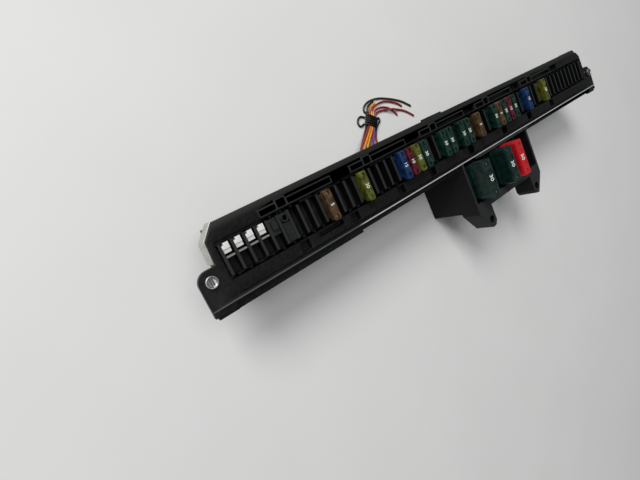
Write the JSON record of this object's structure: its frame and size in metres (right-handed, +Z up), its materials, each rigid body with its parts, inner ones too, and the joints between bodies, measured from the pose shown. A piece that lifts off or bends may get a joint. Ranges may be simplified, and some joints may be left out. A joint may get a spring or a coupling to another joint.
{
  "type": "fuse box panel",
  "caption": "Long black plastic fuse carrier with a row of blade fuse slots, a side pocket for large blade fuses, quarter-turn studs and a short wire pigtail.",
  "frame": {"origin": "middle of the panel's footprint, on the plane of its flat back", "axes": "+X along the fuse row, +Y across it towards the side where the wires leave, +Z up out of the fuse side, the way fuses pull out"},
  "size_m": [0.4396, 0.1317, 0.0595],
  "materials": {
    "carrier_plastic": "moulded glass-filled nylon, satin black",
    "comb_plastic": "moulded nylon, satin black",
    "socket_plastic": "moulded nylon, black",
    "housing_plastic": "moulded nylon, satin black",
    "cover_plastic": "moulded nylon, fine grain black",
    "pocket_plastic": "moulded nylon, satin black",
    "clip_plastic": "moulded nylon, dark grey",
    "locator_plastic": "moulded nylon, dark grey",
    "retainer_plastic": "moulded acetal, black",
    "white_lock": "moulded nylon, white",
    "grey_lock": "moulded nylon, light grey",
    "zinc_bracket": "zinc-plated sheet steel, dull",
    "zinc_steel": "zinc-plated steel",
    "stud_steel": "bright plated steel",
    "terminal_brass": "tin-plated brass",
    "copper_bar": "tinned copper",
    "fuse_metal": "tin-plated zinc",
    "loom_tape": "wound fabric tape, black",
    "tape_black": "wound tape, black",
    "grommet_rubber": "moulded rubber, black",
    "fuse_tan": "transparent-tinted polysulfone, tan",
    "fuse_yellow": "transparent-tinted polysulfone, yellow",
    "fuse_blue": "transparent-tinted polysulfone, blue",
    "fuse_red": "transparent-tinted polysulfone, red",
    "fuse_green": "transparent-tinted polysulfone, green",
    "maxi_green": "transparent-tinted polysulfone, green",
    "maxi_red": "transparent-tinted polysulfone, red",
    "wire_red": "PVC insulation, red",
    "wire_orange": "PVC insulation, orange",
    "wire_violet": "PVC insulation, violet",
    "wire_black": "PVC insulation, black",
    "wire_olive": "PVC insulation, olive"
  },
  "bodies": {
    "panel": {"carrier_frame": "carrier_plastic", "divider_comb": "comb_plastic", "socket_block": "socket_plastic", "blade_terminals": "terminal_brass", "rear_housing": "housing_plastic", "rear_cover": "cover_plastic", "cover_screws": "zinc_steel", "supply_bar": "copper_bar", "inner_loom": "loom_tape", "end_bracket_left": "zinc_bracket", "end_bracket_right": "zinc_bracket", "lock_blocks": "white_lock", "lock_strips": "grey_lock", "clip_block": "clip_plastic", "locator_block": "locator_plastic", "stud_retainers": "retainer_plastic", "maxi_pocket": "pocket_plastic", "maxi_socket": "socket_plastic", "maxi_terminals": "terminal_brass", "maxi_supply_bar": "copper_bar", "wire_grommet": "grommet_rubber", "wire_tie": "tape_black", "wire_red": "wire_red", "wire_red_2": "wire_red", "wire_red_3": "wire_red", "wire_red_4": "wire_red", "wire_orange": "wire_orange", "wire_orange_2": "wire_orange", "wire_violet": "wire_violet", "wire_black": "wire_black", "wire_olive": "wire_olive", "tie_loop": "tape_black", "tie_tail": "tape_black"},
    "fuse_03": {"fuse_03_5a": "fuse_tan"},
    "fuse_07": {"fuse_07_20a": "fuse_yellow"},
    "fuse_12": {"fuse_12_15a": "fuse_blue"},
    "fuse_13": {"fuse_13_10a": "fuse_red"},
    "fuse_14": {"fuse_14_20a": "fuse_yellow"},
    "fuse_15": {"fuse_15_30a": "fuse_green"},
    "fuse_18": {"fuse_18_30a": "fuse_green"},
    "fuse_19": {"fuse_19_30a": "fuse_green"},
    "fuse_21": {"fuse_21_30a": "fuse_green"},
    "fuse_22": {"fuse_22_30a": "fuse_green"},
    "fuse_24": {"fuse_24_5a": "fuse_tan"},
    "fuse_27": {"fuse_27_30a": "fuse_green"},
    "fuse_28": {"fuse_28_5a": "fuse_tan"},
    "fuse_29": {"fuse_29_30a": "fuse_green"},
    "fuse_30": {"fuse_30_10a": "fuse_red"},
    "fuse_31": {"fuse_31_30a": "fuse_green"},
    "fuse_34": {"fuse_34_15a": "fuse_blue"},
    "fuse_38": {"fuse_38_20a": "fuse_yellow"},
    "maxi_1": {"maxi_1_body": "maxi_green", "maxi_1_element": "fuse_metal"},
    "maxi_3": {"maxi_3_body": "maxi_green", "maxi_3_element": "fuse_metal"},
    "maxi_4": {"maxi_4_body": "maxi_red", "maxi_4_element": "fuse_metal"},
    "stud_left": {"stud_left": "stud_steel"},
    "stud_right": {"stud_right": "stud_steel"}
  },
  "joints": [
    {"name": "fuse_03_pull", "type": "slide", "parent": "panel", "child": "fuse_03", "axis": [0, 0, 1], "range_m": [0, 0.02]},
    {"name": "fuse_07_pull", "type": "slide", "parent": "panel", "child": "fuse_07", "axis": [0, 0, 1], "range_m": [0, 0.02]},
    {"name": "fuse_12_pull", "type": "slide", "parent": "panel", "child": "fuse_12", "axis": [0, 0, 1], "range_m": [0, 0.02]},
    {"name": "fuse_13_pull", "type": "slide", "parent": "panel", "child": "fuse_13", "axis": [0, 0, 1], "range_m": [0, 0.02]},
    {"name": "fuse_14_pull", "type": "slide", "parent": "panel", "child": "fuse_14", "axis": [0, 0, 1], "range_m": [0, 0.02]},
    {"name": "fuse_15_pull", "type": "slide", "parent": "panel", "child": "fuse_15", "axis": [0, 0, 1], "range_m": [0, 0.02]},
    {"name": "fuse_18_pull", "type": "slide", "parent": "panel", "child": "fuse_18", "axis": [0, 0, 1], "range_m": [0, 0.02]},
    {"name": "fuse_19_pull", "type": "slide", "parent": "panel", "child": "fuse_19", "axis": [0, 0, 1], "range_m": [0, 0.02]},
    {"name": "fuse_21_pull", "type": "slide", "parent": "panel", "child": "fuse_21", "axis": [0, 0, 1], "range_m": [0, 0.02]},
    {"name": "fuse_22_pull", "type": "slide", "parent": "panel", "child": "fuse_22", "axis": [0, 0, 1], "range_m": [0, 0.02]},
    {"name": "fuse_24_pull", "type": "slide", "parent": "panel", "child": "fuse_24", "axis": [0, 0, 1], "range_m": [0, 0.02]},
    {"name": "fuse_27_pull", "type": "slide", "parent": "panel", "child": "fuse_27", "axis": [0, 0, 1], "range_m": [0, 0.02]},
    {"name": "fuse_28_pull", "type": "slide", "parent": "panel", "child": "fuse_28", "axis": [0, 0, 1], "range_m": [0, 0.02]},
    {"name": "fuse_29_pull", "type": "slide", "parent": "panel", "child": "fuse_29", "axis": [0, 0, 1], "range_m": [0, 0.02]},
    {"name": "fuse_30_pull", "type": "slide", "parent": "panel", "child": "fuse_30", "axis": [0, 0, 1], "range_m": [0, 0.02]},
    {"name": "fuse_31_pull", "type": "slide", "parent": "panel", "child": "fuse_31", "axis": [0, 0, 1], "range_m": [0, 0.02]},
    {"name": "fuse_34_pull", "type": "slide", "parent": "panel", "child": "fuse_34", "axis": [0, 0, 1], "range_m": [0, 0.02]},
    {"name": "fuse_38_pull", "type": "slide", "parent": "panel", "child": "fuse_38", "axis": [0, 0, 1], "range_m": [0, 0.02]},
    {"name": "maxi_1_pull", "type": "slide", "parent": "panel", "child": "maxi_1", "axis": [0, 0, 1], "range_m": [0, 0.037]},
    {"name": "maxi_3_pull", "type": "slide", "parent": "panel", "child": "maxi_3", "axis": [0, 0, 1], "range_m": [0, 0.037]},
    {"name": "maxi_4_pull", "type": "slide", "parent": "panel", "child": "maxi_4", "axis": [0, 0, 1], "range_m": [0, 0.037]},
    {"name": "stud_left_turn", "type": "hinge", "parent": "panel", "child": "stud_left", "pos_m": [-0.2134, 0.02185, 0.046], "axis": [0, 0, 1], "range_deg": [0, 90]},
    {"name": "stud_right_turn", "type": "hinge", "parent": "panel", "child": "stud_right", "pos_m": [0.2134, 0.02185, 0.046], "axis": [0, 0, 1], "range_deg": [0, 90]}
  ]
}
